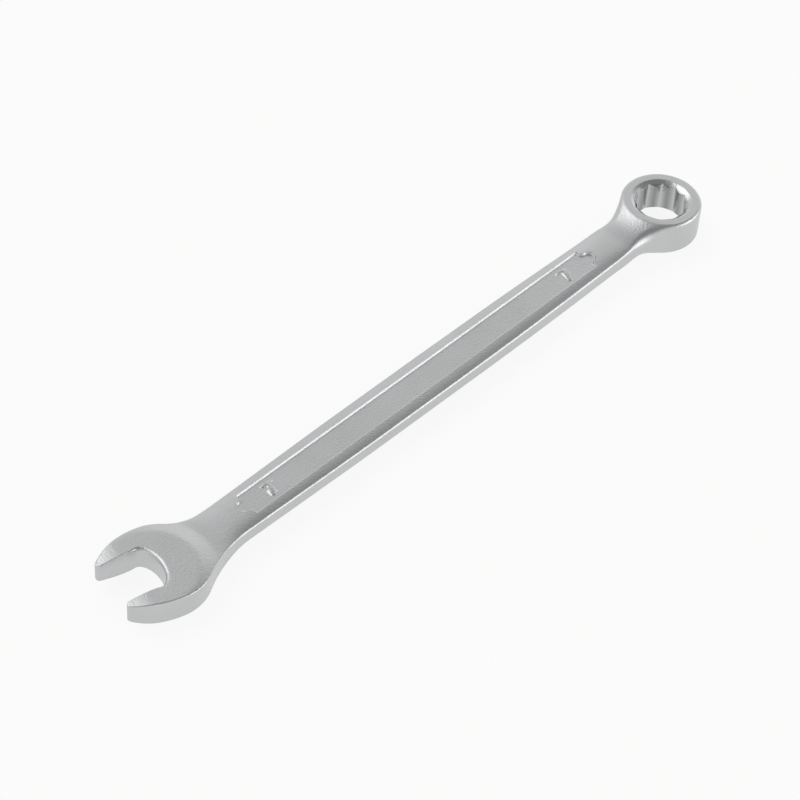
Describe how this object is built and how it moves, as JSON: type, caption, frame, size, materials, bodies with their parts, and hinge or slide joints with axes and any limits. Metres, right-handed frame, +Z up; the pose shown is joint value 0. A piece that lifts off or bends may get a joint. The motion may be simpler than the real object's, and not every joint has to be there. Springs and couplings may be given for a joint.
{
  "type": "combination wrench",
  "caption": "Flat combination wrench for a 7 mm nut: an angled open end and a twelve-point ring end joined by a slim crowned shank with a recessed panel.",
  "frame": {"origin": "under the middle of the bounding box, on the surface that the wrench lies on", "axes": "+X from the open end to the ring end, +Z up through both faces, so +Y is the side that the jaws turn towards"},
  "size_m": [0.1158, 0.014, 0.0055],
  "materials": {
    "satin_chrome_plate": "satin chrome plate over drop-forged steel"
  },
  "bodies": {
    "root": {"wrench_forging": "satin_chrome_plate"}
  },
  "joints": []
}
